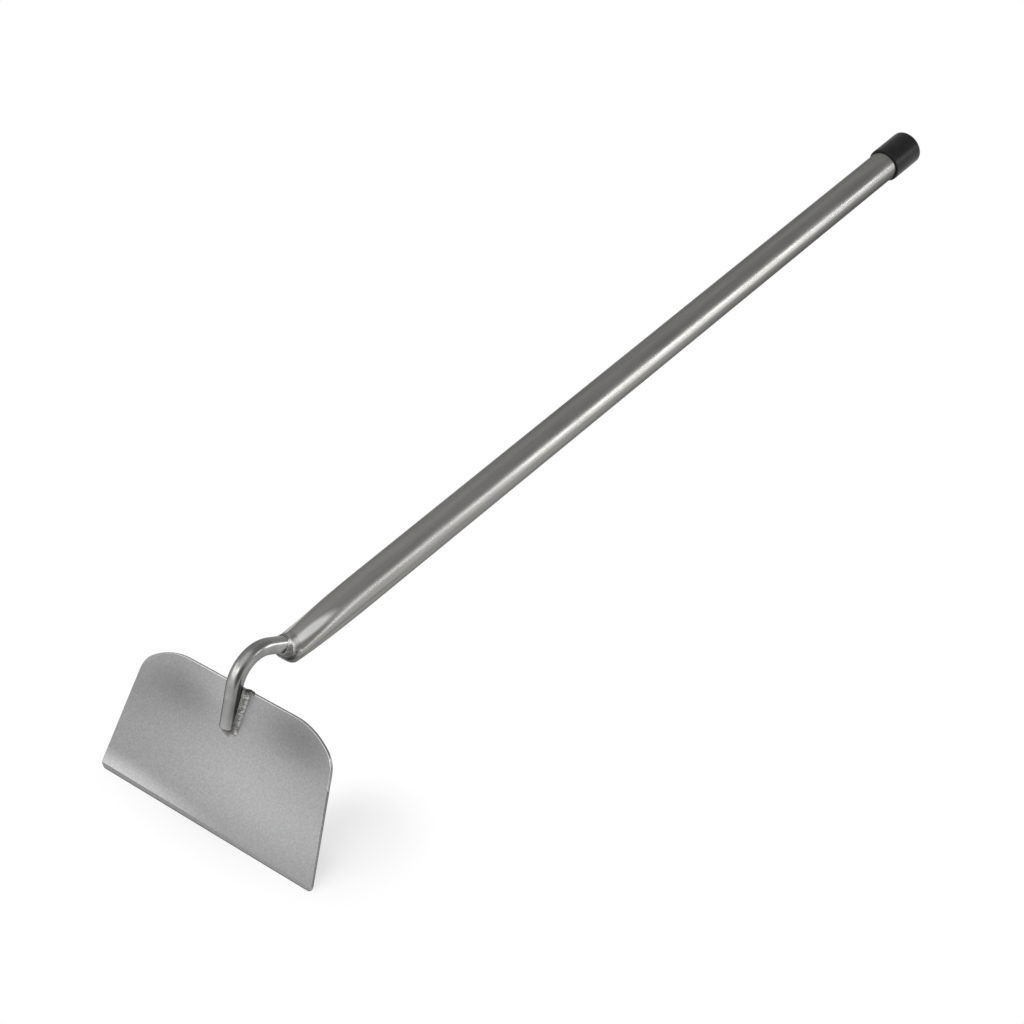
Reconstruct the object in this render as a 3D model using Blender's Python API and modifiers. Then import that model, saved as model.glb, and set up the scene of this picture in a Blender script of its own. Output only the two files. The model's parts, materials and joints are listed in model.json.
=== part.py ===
# Garden hoe, all steel. A flat blade is welded to a bent round bar, the neck. The bar's tang goes into a
# tube handle whose end is drawn down and closed round it, and a push-on cap covers the tube's other end.
#
# Everything is modelled in the handle's own frame and hung on one empty. There the tube's axis is the
# X axis, +X runs from the neck to the cap, and the point where the bar leaves the tube has x = 0. The
# empty then lays the hoe down as it rests on a floor: on its cutting edge and on the cap's rim.

import math

import bmesh
import bpy
from mathutils import Matrix, Vector

# Clearances
GAP = 0.0003                    # between pieces that touch
MERGE_DISTANCE = 0.00001        # within which points of a finished outline are one
SMOOTH_BELOW = math.radians(35)

# Handle tube
TUBE_DIAMETER = 0.025
TUBE_WALL = 0.0015
TUBE_LENGTH = 0.7451            # from the mouth to the plain end under the cap
TUBE_SIDES = 48

# Closed end of the tube
PINCH_LENGTH = 0.0842           # over which the round tube is drawn down to a nose
PINCH_DELAY = 2.17              # the higher, the later the section leaves the round
CLIMB_DELAY = 2.08              # the same for its middle, which climbs to the bar's axis
TURN_DELAY = 3                  # the same for its turn, which ends square to the bar
NOSE_DROP = 0.01225             # how far the nose reaches below the bar's axis
LOW_RADIUS = 0.0094             # of the two arcs that close the nose's section below
LOW_SPREAD = 0.0033             # half the distance between their centres
ARC_BLEND = math.radians(9)     # half the angle over which one arc passes into the next
NOSE_LENGTH = 0.0035            # depth of the nose's rounded rim
NOSE_ROUND_BELOW = 0.0031
NOSE_ROUND_BESIDE = 0.0039
NOSE_ROUND_ABOVE = 0.0018
PINCH_STEPS = 14
NOSE_STEPS = 6

# Neck bar
BAR_DIAMETER = 0.012
TANG_OFFSET = 0.0028            # height of the tang's axis above the tube's
TANG_LENGTH = 0.060             # straight part hidden in the tube
ROOT_BEND_RADIUS = 0.025        # lower bend, inside the mouth
ROOT_BEND_ANGLE = math.radians(31.7)
RISE_LENGTH = 0.0151            # straight part between the two bends
ARCH_BEND_RADIUS = 0.0249       # the arch ends level with the blade's top edge
BLADE_ANGLE = math.radians(53.3)   # between the blade's plane and the handle's axis
BAR_LEAN = math.radians(9.7)    # of the bar's last straight towards the blade
BAR_ON_BLADE = 0.0248           # from the top edge to the centre of the bar's rounded end
BAR_EDGE_HEIGHT = 0.0069        # of the bar's axis above the blade's front face, at the top edge
END_ROUND_STEPS = 5
BEND_STEP = math.radians(6.0)
BAR_SIDES = 24

# Blade
BLADE_THICKNESS = 0.0025
BLADE_HEIGHT = 0.1032
CUTTING_EDGE_WIDTH = 0.2126
BLADE_TOP_WIDTH = 0.1801        # between the side lines where they would meet the top edge
TOP_CORNER_RADIUS = 0.036
EDGE_CORNER_RADIUS = 0.005
TOP_CORNER_STEPS = 14
EDGE_CORNER_STEPS = 5
GRIND_WIDTH = 0.0039            # ground strip along the cutting edge
GRIND_DEPTH = 0.0017

# Cap
CAP_LENGTH = 0.0345
CAP_WALL = 0.0016
CAP_END_THICKNESS = 0.003
CAP_END_ROUND = 0.0022
CAP_RIM_ROUND = 0.0012
CAP_SIDES = 48
ROUND_STEPS = 5

# Welds
WELD_TOE_AT_TOP = 0.0038        # how far the beads reach out past the bar's side
WELD_TOE_AT_END = 0.0020
WELD_RISE = 0.0044              # how far they climb up the bar from the blade
WELD_BULGE = 0.0007
BEAD_STEPS = 5                  # facets of each curved side of a bead's section
BEAD_START = 0.9                # sine of the steepest angle under the bar at which a bead may start
STATIONS_PER_RIPPLE = 4
WELD_RIPPLE_PITCH = 0.0024
WELD_RIPPLE = 0.00022
TOE_WELD_STATIONS = 24
EDGE_WELD_HALF_LENGTH = 0.0056
EDGE_WELD_MIDDLE = 0.0072       # to the right of the bar's axis
EDGE_WELD_HEIGHT = 0.0012       # above the blade's top edge
EDGE_WELD_HALF_DEPTH = 0.0019   # across the plate's thickness
EDGE_WELD_SEGMENTS = 24
SOCKET_BEAD_RADIUS = 0.0021
SOCKET_BEAD_INSET = 0.0013      # from the bar's side to the middle of the bead
SOCKET_BEAD_THINNING = 0.50     # share the bead has lost on top of the bar
SOCKET_RIPPLES = 16
SOCKET_BEAD_SIDES = 12

# Sizes that follow
TUBE_RADIUS = TUBE_DIAMETER / 2
BAR_RADIUS = BAR_DIAMETER / 2
MOUTH_HEIGHT = TANG_OFFSET + ROOT_BEND_RADIUS * (1 - math.cos(ROOT_BEND_ANGLE))
COLLAR_RADIUS = BAR_RADIUS + GAP + TUBE_WALL
LOW_CENTRE_DROP = NOSE_DROP - LOW_RADIUS    # of the two lower arcs, below the bar's axis
FLANK_ANGLE = (math.atan2(LOW_SPREAD, LOW_CENTRE_DROP)
               + math.asin((COLLAR_RADIUS - LOW_RADIUS) / math.hypot(LOW_SPREAD, LOW_CENTRE_DROP)))
BAR_CLEARANCE = BAR_RADIUS + GAP


# Colours, roughness and metallic value of each finish
def make_material(name, colour, roughness, metallic):
    material = bpy.data.materials.new(name)
    material.use_nodes = True
    shader = material.node_tree.nodes["Principled BSDF"]
    shader.inputs["Base Color"].default_value = (*colour, 1.0)
    shader.inputs["Roughness"].default_value = roughness
    shader.inputs["Metallic"].default_value = metallic
    material.diffuse_color = (*colour, 1.0)
    return material


# Collections and the empty that carries every piece
def clear_scene():
    for obj in list(bpy.data.objects):
        bpy.data.objects.remove(obj, do_unlink=True)


def new_collection(name):
    collection = bpy.data.collections.new(name)
    bpy.context.scene.collection.children.link(collection)
    return collection


def add_object(name, data, material=None, cutter=False):
    obj = bpy.data.objects.new(name, data)
    obj.parent = carrier
    if cutter:
        cutters.objects.link(obj)
        obj.hide_render = True
        obj.display_type = "WIRE"
    else:
        hoe.objects.link(obj)
        data.materials.append(material)
    return obj


def add_mesh(name, bm, material=None, cutter=False, smooth=True):
    bmesh.ops.recalc_face_normals(bm, faces=bm.faces)
    mesh = bpy.data.meshes.new(name)
    bm.to_mesh(mesh)
    bm.free()
    if smooth:
        mesh.shade_smooth()
        mesh.set_sharp_from_angle(angle=SMOOTH_BELOW)
    return add_object(name, mesh, material, cutter)


def cut(obj, cutter):
    boolean = obj.modifiers.new("clear " + cutter.name, "BOOLEAN")
    boolean.operation = "DIFFERENCE"
    boolean.solver = "EXACT"
    boolean.object = cutter


# Directions in the handle's plane of symmetry
def heading_vector(heading):
    return Vector((math.cos(heading), 0.0, math.sin(heading)))


def bend(point, heading, radius, turn):
    # Points of an arc that starts at point along heading, and the heading after it
    steps = max(2, round(abs(turn) / BEND_STEP))
    side = math.copysign(math.pi / 2, turn)
    centre = point + heading_vector(heading + side) * radius
    arc = []
    for step in range(1, steps + 1):
        arc.append(centre - heading_vector(heading + turn * step / steps + side) * radius)
    return arc, heading + turn


# The neck's centre line, from the tang's inner end to the centre of the bar's rounded end on the blade
def neck_path():
    heading = math.pi
    root = Vector((ROOT_BEND_RADIUS * math.sin(ROOT_BEND_ANGLE), 0.0, TANG_OFFSET))
    points = [root + Vector((TANG_LENGTH, 0.0, 0.0)), root]
    arc, heading = bend(root, heading, ROOT_BEND_RADIUS, -ROOT_BEND_ANGLE)
    points += arc
    mouth = points[-1].copy()
    points.append(mouth + heading_vector(heading) * RISE_LENGTH)
    arc, heading = bend(points[-1], heading, ARCH_BEND_RADIUS, ROOT_BEND_ANGLE + BLADE_ANGLE + BAR_LEAN)
    points += arc
    top_edge = points[-1].copy()
    points.append(top_edge + heading_vector(heading) * (BAR_ON_BLADE / math.cos(BAR_LEAN)))
    return points, mouth, top_edge


def bar_curve(name, points, radius):
    curve = bpy.data.curves.new(name, "CURVE")
    curve.dimensions = "3D"
    curve.bevel_depth = radius
    curve.bevel_resolution = (BAR_SIDES - 4) // 2
    curve.use_fill_caps = True
    # The end is rounded by points on which the bar gets thinner along a quarter circle
    knots = [(point, 1.0) for point in points]
    ahead = (points[-1] - points[-2]).normalized()
    for step in range(1, END_ROUND_STEPS + 1):
        angle = math.pi / 2 * step / (END_ROUND_STEPS + 0.5)
        knots.append((points[-1] + ahead * (radius * math.sin(angle)), math.cos(angle)))
    spline = curve.splines.new("POLY")
    spline.points.add(len(knots) - 1)
    for knot, (point, thickness) in zip(spline.points, knots):
        knot.co = (*point, 1.0)
        knot.radius = thickness
    return curve


# The bar leans into the blade, so its back is ground flat there, to lie on the blade's front face
def make_neck(points, frame, material):
    neck = add_mesh("neck_rod", mesh_of_curve(bar_curve("neck_rod", points, BAR_RADIUS)), material)
    bm = bmesh.new()
    bmesh.ops.create_cube(bm, size=1.0)
    length = BAR_ON_BLADE + BAR_DIAMETER
    size = Matrix.Diagonal((2 * BAR_DIAMETER, length, BAR_DIAMETER, 1.0))
    place = Matrix.Translation((0.0, length / 2 - GAP, GAP - BAR_DIAMETER / 2))
    bmesh.ops.transform(bm, matrix=frame @ place @ size, verts=bm.verts)
    cut(neck, add_mesh("blade_clearance", bm, cutter=True, smooth=False))
    return neck


def mesh_of_curve(curve):
    # The curve's surface as a mesh whose caps are welded to its sides
    source = add_object("source", curve, cutter=True)
    graph = bpy.context.evaluated_depsgraph_get()
    mesh = bpy.data.meshes.new_from_object(source.evaluated_get(graph))
    bpy.data.objects.remove(source, do_unlink=True)
    bm = bmesh.new()
    bm.from_mesh(mesh)
    bpy.data.meshes.remove(mesh)
    bmesh.ops.remove_doubles(bm, verts=bm.verts, dist=MERGE_DISTANCE)
    return bm


def make_bar_clearance(points):
    # The bar, fatter by the gap, which clears a way for it through what grips it
    bm = mesh_of_curve(bar_curve("fat_bar", points, BAR_CLEARANCE))
    return add_mesh("bar_clearance", bm, cutter=True)


# A loft through rings of as many points each. Its ends are closed, or join each other where it is a hoop.
def loft(rings, hoop=False):
    bm = bmesh.new()
    loops = [[bm.verts.new(point) for point in ring] for ring in rings]
    following = loops[1:] + loops[:1] if hoop else loops[1:]
    for loop, after in zip(loops, following):
        for side in range(len(loop)):
            bm.faces.new((loop[side - 1], loop[side], after[side], after[side - 1]))
    if not hoop:
        bm.faces.new(loops[0])
        bm.faces.new(loops[-1])
    return bm


# From 0 to 1 while the angle passes the middle
def ease(angle, middle):
    share = min(max((angle - middle + ARC_BLEND) / (2 * ARC_BLEND), 0.0), 1.0)
    return share * share * (3 - 2 * share)


# The nose's section has three arcs: one round the bar and two lower ones, side by side, with flat flanks
# between. This is the arc that faces an angle: its centre across and up from the bar's axis, and its radius.
def nose_arc(angle):
    high = ease(angle, FLANK_ANGLE) * (1 - ease(angle, math.pi - FLANK_ANGLE))
    low = 1 - high
    if angle > math.pi:
        side = 2 * ease(angle, 1.5 * math.pi) - 1
    else:
        side = math.copysign(1.0, math.cos(angle))
    return side * low * LOW_SPREAD, -low * LOW_CENTRE_DROP, high * COLLAR_RADIUS + low * LOW_RADIUS


# A ring between the round section and the nose's, by the share pinched. grow moves it out, or in where it
# is negative, and inset draws it in for the nose's rounded rim.
def tube_ring(centre, up, pinched, grow, inset=0.0):
    points = []
    for number in range(TUBE_SIDES):
        angle = 2 * math.pi * number / TUBE_SIDES
        cosine = math.cos(angle)
        sine = math.sin(angle)
        across, over, radius = nose_arc(angle)
        upright = NOSE_ROUND_ABOVE if sine > 0 else NOSE_ROUND_BELOW
        drawn_in = inset * (NOSE_ROUND_BESIDE * cosine**2 + upright * sine**2)
        reach = TUBE_RADIUS + (radius - TUBE_RADIUS) * pinched + grow - drawn_in
        points.append(centre + Vector((0.0, across * pinched + reach * cosine, 0.0))
                      + up * (over * pinched + reach * sine))
    return points


# The tube's skin, drawn down to a nose that follows the bar, or its bore where grow is negative
def tube_rings(grow):
    out = heading_vector(math.pi - ROOT_BEND_ANGLE)
    up = heading_vector(math.pi / 2 - ROOT_BEND_ANGLE)
    nose_start = Vector((0.0, 0.0, MOUTH_HEIGHT)) - out * NOSE_LENGTH
    run = PINCH_LENGTH - nose_start.x
    climb = nose_start.z
    last_slope = math.atan2(climb * CLIMB_DELAY, run)
    rings = [tube_ring(Vector((TUBE_LENGTH, 0.0, 0.0)), Vector((0.0, 0.0, 1.0)), 0.0, grow)]
    for step in range(PINCH_STEPS + 1):
        t = step / PINCH_STEPS
        slope = math.atan2(climb * CLIMB_DELAY * t ** (CLIMB_DELAY - 1), run)
        turn = slope + (ROOT_BEND_ANGLE - last_slope) * t**TURN_DELAY
        centre = Vector((PINCH_LENGTH - run * t, 0.0, climb * t**CLIMB_DELAY))
        rings.append(tube_ring(centre, heading_vector(math.pi / 2 - turn), t**PINCH_DELAY, grow))
    for step in range(1, NOSE_STEPS + 1):
        angle = math.pi / 2 * step / NOSE_STEPS
        centre = nose_start + out * ((NOSE_LENGTH + grow) * math.sin(angle))
        rings.append(tube_ring(centre, up, 1.0, grow, inset=1 - math.cos(angle)))
    return rings


def make_tube(bar_clearance, material):
    skin = tube_rings(0.0)
    bore = tube_rings(-TUBE_WALL)
    tube = add_mesh("handle_tube", loft(skin[::-1] + bore), material)
    cut(tube, bar_clearance)
    return tube


def make_tube_clearance():
    return add_mesh("tube_clearance", loft(tube_rings(GAP)), cutter=True)


# The cap: a turned cup with a rounded end and a rounded rim, open towards the neck. Its own z axis is the
# tube's axis, with z = 0 at the tube's plain end.
def quarter(centre_r, centre_z, radius, start):
    points = []
    for step in range(ROUND_STEPS + 1):
        angle = start - math.pi / 2 * step / ROUND_STEPS
        points.append((centre_r + radius * math.cos(angle), centre_z + radius * math.sin(angle)))
    return points


def make_cap(material):
    inner = TUBE_RADIUS + GAP
    outer = inner + CAP_WALL
    top = GAP + CAP_END_THICKNESS
    rim = top - CAP_LENGTH
    profile = [(0.0, top)]
    profile += quarter(outer - CAP_END_ROUND, top - CAP_END_ROUND, CAP_END_ROUND, math.pi / 2)
    profile += quarter(outer - CAP_RIM_ROUND, rim + CAP_RIM_ROUND, CAP_RIM_ROUND, 0.0)
    profile += [(inner, rim), (inner, GAP), (0.0, GAP)]
    mesh = bpy.data.meshes.new("end_cap")
    edges = [(index, index + 1) for index in range(len(profile) - 1)]
    mesh.from_pydata([(r, 0.0, z) for r, z in profile], edges, [])
    cap = add_object("end_cap", mesh, material)
    cap.location = (TUBE_LENGTH, 0.0, 0.0)
    cap.rotation_euler = (0.0, math.pi / 2, 0.0)
    screw = cap.modifiers.new("turn", "SCREW")
    screw.steps = CAP_SIDES
    screw.render_steps = CAP_SIDES
    screw.use_merge_vertices = True
    screw.merge_threshold = MERGE_DISTANCE
    screw.use_smooth_shade = True
    return cap


# The blade's own frame: x to the hoe's left along the top edge, y down the plate, z out of its front face.
# Its origin is the middle of the front face's top edge.
def blade_frame(top_edge):
    down = heading_vector(math.pi + BLADE_ANGLE)
    front = heading_vector(math.pi / 2 + BLADE_ANGLE)
    origin = top_edge - front * BAR_EDGE_HEIGHT
    left = Vector((0.0, 1.0, 0.0))
    frame = Matrix((left, down, front)).transposed().to_4x4()
    frame.translation = origin
    return frame


def rounded_outline(corners, radii, steps):
    # A polygon with its corners replaced by arcs that touch both sides
    outline = []
    count = len(corners)
    for index in range(count):
        corner, before, after = corners[index], corners[index - 1], corners[(index + 1) % count]
        back = (before - corner).normalized()
        on = (after - corner).normalized()
        half = back.angle(on) / 2
        reach = radii[index] / math.tan(half)
        centre = corner + (back + on).normalized() * (radii[index] / math.sin(half))
        start = corner + back * reach - centre
        turn = start.angle_signed(corner + on * reach - centre)
        for step in range(steps[index] + 1):
            spoke = start.copy()
            spoke.rotate(Matrix.Rotation(-turn * step / steps[index], 2))
            outline.append(centre + spoke)
    return outline


def make_blade(frame, material):
    top, edge = BLADE_TOP_WIDTH / 2, CUTTING_EDGE_WIDTH / 2
    corners = [Vector((-top, 0.0)), Vector((top, 0.0)),
               Vector((edge, BLADE_HEIGHT)), Vector((-edge, BLADE_HEIGHT))]
    radii = [TOP_CORNER_RADIUS, TOP_CORNER_RADIUS, EDGE_CORNER_RADIUS, EDGE_CORNER_RADIUS]
    steps = [TOP_CORNER_STEPS, TOP_CORNER_STEPS, EDGE_CORNER_STEPS, EDGE_CORNER_STEPS]
    outline = rounded_outline(corners, radii, steps)
    curve = bpy.data.curves.new("plate", "CURVE")
    curve.dimensions = "2D"
    curve.fill_mode = "BOTH"
    curve.extrude = BLADE_THICKNESS / 2
    spline = curve.splines.new("POLY")
    spline.use_cyclic_u = True
    spline.points.add(len(outline) - 1)
    for knot, point in zip(spline.points, outline):
        knot.co = (point.x, point.y, 0.0, 1.0)
    bm = mesh_of_curve(curve)
    bmesh.ops.translate(bm, verts=bm.verts, vec=(0.0, 0.0, -BLADE_THICKNESS / 2))
    slope = Vector((0.0, GRIND_DEPTH, GRIND_WIDTH)).normalized()
    sliced = bmesh.ops.bisect_plane(bm, geom=bm.verts[:] + bm.edges[:] + bm.faces[:], clear_outer=True,
                                    plane_co=(0.0, BLADE_HEIGHT - GRIND_WIDTH, 0.0), plane_no=slope)
    rim = [item for item in sliced["geom_cut"] if isinstance(item, bmesh.types.BMEdge)]
    bmesh.ops.edgeloop_fill(bm, edges=rim)
    bmesh.ops.transform(bm, matrix=frame, verts=bm.verts)
    return add_mesh("blade", bm, material)


# A weld's surface swells and sinks by a ripple for each pass of the torch
def ripple(distance):
    return WELD_RIPPLE * abs(math.sin(math.pi * distance / WELD_RIPPLE_PITCH))


def bar_height(down_plate):
    return BAR_EDGE_HEIGHT - down_plate * math.tan(BAR_LEAN)


def bead_section(height, toe_reach, swell):
    # Between the blade's face, the bar's side and a convex face, at the gap from blade and bar. height is the
    # bar's axis above the face. The first number of a point is measured outwards from the axis.
    tall = BAR_CLEARANCE / math.cos(BAR_LEAN)
    low = math.asin(max((GAP - height) / tall, -BEAD_START))
    high = math.asin((WELD_RISE - height) / tall)
    section = []
    for step in range(1, BEAD_STEPS + 1):
        angle = low + (high - low) * step / BEAD_STEPS
        section.append((BAR_CLEARANCE * math.cos(angle), height + tall * math.sin(angle)))
    crest = section[-1]
    toe = (BAR_CLEARANCE + toe_reach, GAP)
    normal = Vector((crest[1] - toe[1], toe[0] - crest[0])).normalized()
    for step in range(1, BEAD_STEPS):
        t = step / BEAD_STEPS
        bulge = (WELD_BULGE + swell) * math.sin(math.pi * t)
        section.append((crest[0] + (toe[0] - crest[0]) * t + normal.x * bulge,
                        crest[1] + (toe[1] - crest[1]) * t + normal.y * bulge))
    section.append(toe)
    section.append((section[0][0], GAP))
    return section


def make_side_weld(name, frame, side, material):
    start = WELD_RIPPLE_PITCH / 2
    length = BAR_ON_BLADE - start
    stations = STATIONS_PER_RIPPLE * round(length / WELD_RIPPLE_PITCH)
    rings = []
    for station in range(stations + 1):
        t = station / stations
        down_plate = start + length * t
        reach = WELD_TOE_AT_TOP + (WELD_TOE_AT_END - WELD_TOE_AT_TOP) * t
        section = bead_section(bar_height(down_plate), reach, ripple(length * t))
        rings.append([frame @ Vector((side * x, down_plate, z)) for x, z in section])
    return add_mesh(name, loft(rings), material)


def make_toe_weld(frame, material):
    # The bead goes on round the bar's rounded end, a gap below the side beads
    height = bar_height(BAR_ON_BLADE)
    rings = []
    for station in range(TOE_WELD_STATIONS + 1):
        angle = math.pi * station / TOE_WELD_STATIONS
        section = bead_section(height, WELD_TOE_AT_END, ripple(angle * BAR_RADIUS))
        rings.append([frame @ Vector((x * math.cos(angle), BAR_ON_BLADE + GAP + x * math.sin(angle), z))
                      for x, z in section])
    return add_mesh("toe_weld", loft(rings), material)


def make_edge_weld(frame, bar_clearance, material):
    # A flattened lump on the plate's top edge, beside and behind the bar
    bm = bmesh.new()
    bmesh.ops.create_uvsphere(bm, u_segments=EDGE_WELD_SEGMENTS, v_segments=EDGE_WELD_SEGMENTS // 2, radius=1.0)
    size = Matrix.Diagonal((EDGE_WELD_HALF_LENGTH, 2 * EDGE_WELD_HEIGHT, EDGE_WELD_HALF_DEPTH, 1.0))
    place = Matrix.Translation((-EDGE_WELD_MIDDLE, EDGE_WELD_HEIGHT, -BLADE_THICKNESS / 2))
    bmesh.ops.transform(bm, matrix=frame @ place @ size, verts=bm.verts)
    down = frame.to_3x3() @ Vector((0.0, 1.0, 0.0))
    sliced = bmesh.ops.bisect_plane(bm, geom=bm.verts[:] + bm.edges[:] + bm.faces[:], clear_outer=True,
                                    plane_co=frame @ Vector((0.0, -GAP, 0.0)), plane_no=down)
    rim = [item for item in sliced["geom_cut"] if isinstance(item, bmesh.types.BMEdge)]
    bmesh.ops.edgeloop_fill(bm, edges=rim)
    weld = add_mesh("top_edge_weld", bm, material)
    cut(weld, bar_clearance)
    return weld


def make_socket_weld(mouth, bar_clearance, tube_clearance, material):
    # A ring of filler round the bar where it leaves the tube, with a ripple for each pass
    out = heading_vector(math.pi - ROOT_BEND_ANGLE)
    up = heading_vector(math.pi / 2 - ROOT_BEND_ANGLE)
    side = Vector((0.0, 1.0, 0.0))
    stations = STATIONS_PER_RIPPLE * SOCKET_RIPPLES
    rings = []
    for station in range(stations):
        around = 2 * math.pi * station / stations
        spoke = side * math.cos(around) + up * math.sin(around)
        left = 1 - SOCKET_BEAD_THINNING * max(0.0, math.sin(around))
        bead = SOCKET_BEAD_RADIUS * left + WELD_RIPPLE * abs(math.sin(around * SOCKET_RIPPLES / 2))
        ring = []
        for step in range(SOCKET_BEAD_SIDES):
            angle = 2 * math.pi * step / SOCKET_BEAD_SIDES
            reach = BAR_RADIUS + SOCKET_BEAD_INSET * left + bead * math.cos(angle)
            ring.append(mouth + spoke * reach + out * (bead * math.sin(angle)))
        rings.append(ring)
    weld = add_mesh("socket_weld", loft(rings, hoop=True), material)
    cut(weld, bar_clearance)
    cut(weld, tube_clearance)
    return weld


# Laying the hoe down: cutting edge and the cap's end rim on the floor, box centred on the origin
def lay_down(frame):
    contact = frame @ Vector((0.0, BLADE_HEIGHT, -BLADE_THICKNESS))
    cap_radius = TUBE_RADIUS + GAP + CAP_WALL
    cap_end = TUBE_LENGTH + GAP + CAP_END_THICKNESS
    round_centre = Vector((cap_end - CAP_END_ROUND, 0.0, CAP_END_ROUND - cap_radius))
    line = round_centre - contact
    slope = math.atan2(line.z, line.x) - math.asin(CAP_END_ROUND / line.length)
    carrier.rotation_euler = (0.0, slope, 0.0)
    bpy.context.view_layer.update()
    graph = bpy.context.evaluated_depsgraph_get()
    points = []
    for obj in hoe.objects:
        solid = obj.evaluated_get(graph)
        points += [obj.matrix_world @ vert.co for vert in solid.to_mesh().vertices]
        solid.to_mesh_clear()
    along = [point.x for point in points]
    carrier.location = (-(min(along) + max(along)) / 2, 0.0, -min(point.z for point in points))


clear_scene()
hoe = new_collection("garden_hoe")
cutters = new_collection("cutters")
carrier = bpy.data.objects.new("hoe_rest", None)
bpy.context.scene.collection.objects.link(carrier)

brushed_tube = make_material("brushed_tube", (0.40, 0.40, 0.39), 0.34, 1.0)
plain_bar = make_material("plain_bar", (0.42, 0.41, 0.40), 0.38, 1.0)
grained_plate = make_material("grained_plate", (0.46, 0.46, 0.46), 0.48, 1.0)
weld_metal = make_material("weld_metal", (0.34, 0.33, 0.32), 0.45, 1.0)
black_cap = make_material("black_cap", (0.022, 0.022, 0.024), 0.50, 0.0)

path, mouth_point, top_edge_point = neck_path()
plate_frame = blade_frame(top_edge_point)
bar_cutter = make_bar_clearance(path)
tube_cutter = make_tube_clearance()

make_blade(plate_frame, grained_plate)
make_neck(path, plate_frame, plain_bar)
make_tube(bar_cutter, brushed_tube)
make_cap(black_cap)
make_side_weld("left_blade_weld", plate_frame, 1.0, weld_metal)
make_side_weld("right_blade_weld", plate_frame, -1.0, weld_metal)
make_toe_weld(plate_frame, weld_metal)
make_edge_weld(plate_frame, bar_cutter, weld_metal)
make_socket_weld(mouth_point, bar_cutter, tube_cutter, weld_metal)
lay_down(plate_frame)
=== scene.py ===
# %% [markdown]
# # A garden hoe under soft light
#
# All of this hoe is steel, apart from its cap. A wide flat blade hangs from a bent round bar, the gooseneck.
# The bar's other end goes into a tube handle whose mouth is drawn down round it, and a black plastic cap is
# pushed over the tube's far end. The solids that this scene starts from have the right sizes but few facets,
# so every piece is modelled again here, finer, in the same place, and gets a finish of its own.

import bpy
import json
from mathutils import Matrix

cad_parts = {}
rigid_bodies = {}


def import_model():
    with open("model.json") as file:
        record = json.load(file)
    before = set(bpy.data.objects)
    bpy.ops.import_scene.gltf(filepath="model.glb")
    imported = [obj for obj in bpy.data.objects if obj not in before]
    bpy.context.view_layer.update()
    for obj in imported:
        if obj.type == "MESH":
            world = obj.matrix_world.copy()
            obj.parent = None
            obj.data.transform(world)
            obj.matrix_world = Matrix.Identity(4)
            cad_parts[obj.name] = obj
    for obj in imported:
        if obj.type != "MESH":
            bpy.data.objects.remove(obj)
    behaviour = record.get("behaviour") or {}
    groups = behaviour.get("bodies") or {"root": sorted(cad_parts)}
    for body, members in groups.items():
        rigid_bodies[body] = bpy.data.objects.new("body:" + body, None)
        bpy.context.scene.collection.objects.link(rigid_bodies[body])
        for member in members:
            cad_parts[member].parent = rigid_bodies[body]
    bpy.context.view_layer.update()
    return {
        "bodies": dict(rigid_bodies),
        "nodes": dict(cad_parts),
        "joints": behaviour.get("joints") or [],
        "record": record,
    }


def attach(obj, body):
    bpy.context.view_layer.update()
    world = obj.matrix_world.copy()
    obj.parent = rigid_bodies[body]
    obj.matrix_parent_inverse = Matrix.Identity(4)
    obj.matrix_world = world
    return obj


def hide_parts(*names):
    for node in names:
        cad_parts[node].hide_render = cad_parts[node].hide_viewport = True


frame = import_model()

import json
import math

import bmesh
import bpy
from mathutils import Matrix, Vector, noise

# %% [markdown]
# ## Two frames to think in
#
# The hoe rests on its cutting edge and on the cap's rim, so nothing in it is level. Each piece is easier to
# model where it is straight. The handle's frame has X along the tube, away from the neck, with x = 0 where
# the bar leaves the tube. The plate's frame has X along the blade's top edge, Y down the plate and Z out of
# its front face. A matrix takes a finished mesh from either frame to its place on the floor.

# %% The handle's frame
SLOPE = math.radians(4.674)  # the handle falls this much towards the cap
AXIS_START = (-0.318781, 0.0, 0.075166)  # on the tube's axis, where the bar leaves the tube
lay = Matrix.Translation(AXIS_START) @ Matrix.Rotation(SLOPE, 4, "Y")


def heading(angle):
    """A direction in the hoe's plane of symmetry, turned by angle from the tube's axis."""
    return Vector((math.cos(angle), 0.0, math.sin(angle)))


BAR_RADIUS = 0.006
ROOT_RADIUS, ROOT_ANGLE = 0.025, math.radians(31.7)  # the hidden bend inside the mouth
ARCH_RADIUS = 0.0249
RISE = 0.0151  # straight run between the two bends
PLATE_ANGLE = math.radians(53.3)  # between the plate and the tube's axis
LEAN = math.radians(9.7)  # of the bar's last run towards the plate
TANG_HEIGHT = 0.0028
mouth = Vector((0.0, 0.0, TANG_HEIGHT + ROOT_RADIUS * (1 - math.cos(ROOT_ANGLE))))
out = heading(math.pi - ROOT_ANGLE)  # the way the bar leaves the mouth
above = heading(math.pi / 2 - ROOT_ANGLE)  # square to it, upwards
print("the bar leaves the tube", round(mouth.z * 1000, 2), "mm above the tube's axis")

# %% The plate's frame
arch_start = mouth + out * RISE
arch_centre = arch_start - above * ARCH_RADIUS
ARCH_TURN = ROOT_ANGLE + PLATE_ANGLE + LEAN
arch_end = arch_centre + Matrix.Rotation(-ARCH_TURN, 3, "Y") @ (above * ARCH_RADIUS)
EDGE_HEIGHT = 0.0069  # of the bar's axis over the plate, at the plate's top edge
front = heading(math.pi / 2 + PLATE_ANGLE)
plate = Matrix((Vector((0, 1, 0)), heading(math.pi + PLATE_ANGLE), front)).transposed().to_4x4()
plate.translation = arch_end - front * EDGE_HEIGHT
stand = lay @ plate
print("middle of the blade's top edge:", [round(n, 4) for n in stand.translation])

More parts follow.
